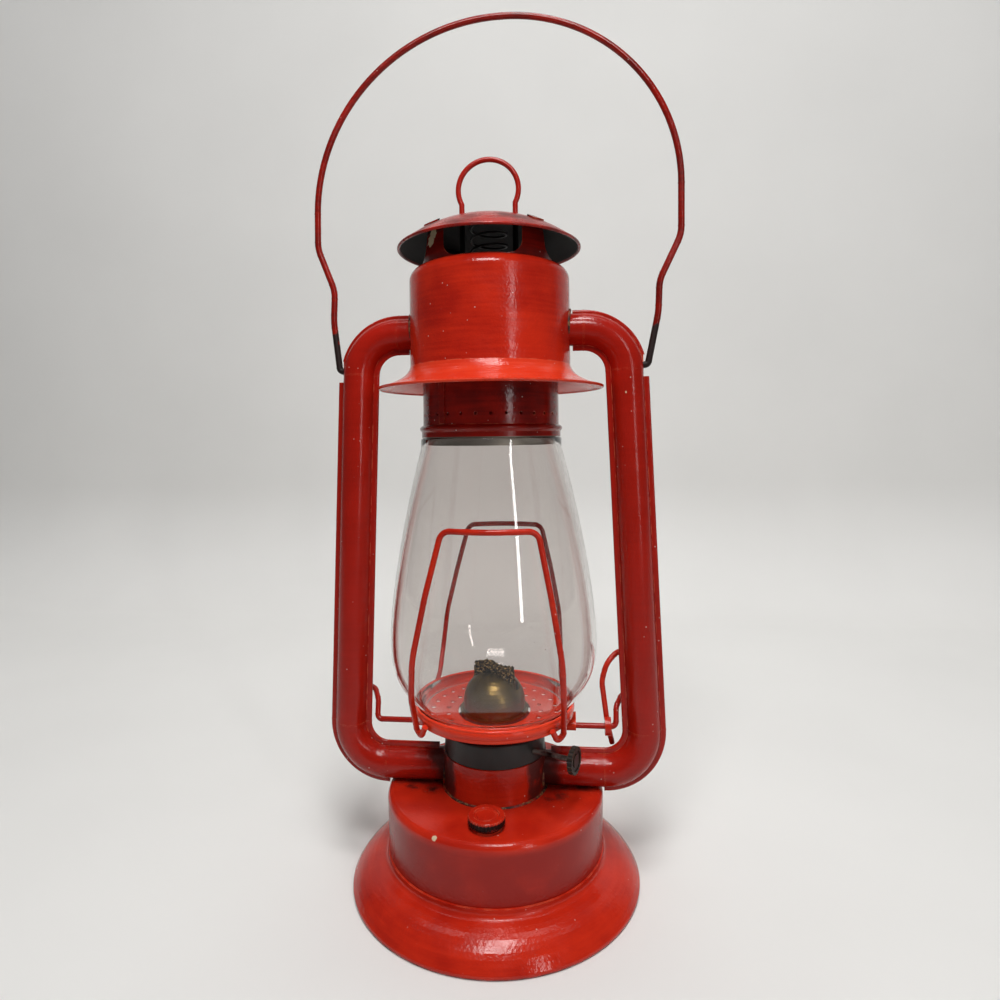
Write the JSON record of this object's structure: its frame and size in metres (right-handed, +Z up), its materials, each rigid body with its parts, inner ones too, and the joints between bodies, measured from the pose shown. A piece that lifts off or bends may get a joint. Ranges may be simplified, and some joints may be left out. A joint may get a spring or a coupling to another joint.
{
  "type": "hurricane lantern",
  "caption": "Tubular hurricane lantern: fuel tank on a flared base, side air tubes, flat-wick burner, lifting glass globe with wire guards, sliding chimney, vented canopy and wire bail.",
  "frame": {"origin": "on the surface the lantern stands on, under the middle of the base", "axes": "+Z up; the filler cap is at the front, towards -Y; +X is the side of the wick knob and the globe lever"},
  "size_m": [0.1857, 0.14, 0.4266],
  "materials": {
    "red_enamel": "glossy dipped red enamel on tinned sheet and wire, worn at edges",
    "black_lacquer": "dull black burner lacquer",
    "aged_brass": "browned, heat-stained brass sheet",
    "plain_steel": "bare spring and strap steel, dulled",
    "clear_glass": "clear pressed glass, faintly grey",
    "cotton_wick": "flat woven cotton, charred at its top",
    "cap_gasket": "oil-proof sealing washer"
  },
  "bodies": {
    "frame": {"base_skirt": "red_enamel", "tank_floor": "red_enamel", "tank_shell": "red_enamel", "filler_neck": "red_enamel", "air_chamber": "red_enamel", "fount_collar": "aged_brass", "left_tube_front": "red_enamel", "left_tube_rear": "red_enamel", "right_tube_front": "red_enamel", "right_tube_rear": "red_enamel", "burner_base": "aged_brass", "burner_collar": "black_lacquer", "burner_cone": "aged_brass", "wick_tube": "aged_brass", "canister": "red_enamel", "canopy_hood": "red_enamel", "crown": "red_enamel", "rain_cap": "red_enamel", "chimney_spring": "plain_steel"},
    "bail": {"bail": "red_enamel"},
    "carriage": {"globe_plate": "red_enamel", "crossbar": "red_enamel", "front_guard": "red_enamel", "rear_guard": "red_enamel", "lift_lever": "red_enamel", "globe": "clear_glass"},
    "chimney": {"chimney_collar": "red_enamel", "chimney_bridge": "plain_steel", "pull_ring": "red_enamel"},
    "wick_drive": {"wick_shaft": "plain_steel", "spur_wheels": "aged_brass", "wick_knob": "black_lacquer"},
    "wick_strip": {"wick": "cotton_wick"},
    "cap_seal": {"filler_gasket": "cap_gasket"},
    "cap": {"filler_cap": "red_enamel"}
  },
  "joints": [
    {"name": "bail_swing", "type": "hinge", "parent": "frame", "child": "bail", "pos_m": [0, 0, 0.2496], "axis": [1, 0, 0], "range_deg": [-150, 150]},
    {"name": "globe_lift", "type": "slide", "parent": "frame", "child": "carriage", "axis": [0, 0, 1], "range_m": [0, 0.012], "deforming": ["chimney_spring"]},
    {"name": "chimney_lift", "type": "slide", "parent": "carriage", "child": "chimney", "axis": [0, 0, 1], "range_m": [0, 0.016], "stiffness_N_per_m": 200, "springref_m": -0.01, "deforming": ["chimney_spring"]},
    {"name": "wick_turn", "type": "hinge", "parent": "frame", "child": "wick_drive", "pos_m": [-0.00213, -0.00502, 0.066], "axis": [0.9205, -0.3907, 0], "range_deg": [-140, 85]},
    {"name": "wick_slide", "type": "slide", "parent": "frame", "child": "wick_strip", "axis": [0, 0, 1], "range_m": [-0.0097, 0.0059]},
    {"name": "cap_lift", "type": "slide", "parent": "frame", "child": "cap_seal", "axis": [0, 0, 1], "range_m": [0, 0.0045]},
    {"name": "cap_turn", "type": "hinge", "parent": "cap_seal", "child": "cap", "pos_m": [0, -0.0392, 0.0471], "axis": [0, 0, 1], "range_deg": [0, 1080]}
  ],
  "couplings": [
    {"joint": "wick_turn", "follows": "wick_slide", "rad_per_m": 250},
    {"joint": "cap_turn", "follows": "cap_lift", "rad_per_m": 4188.8}
  ]
}
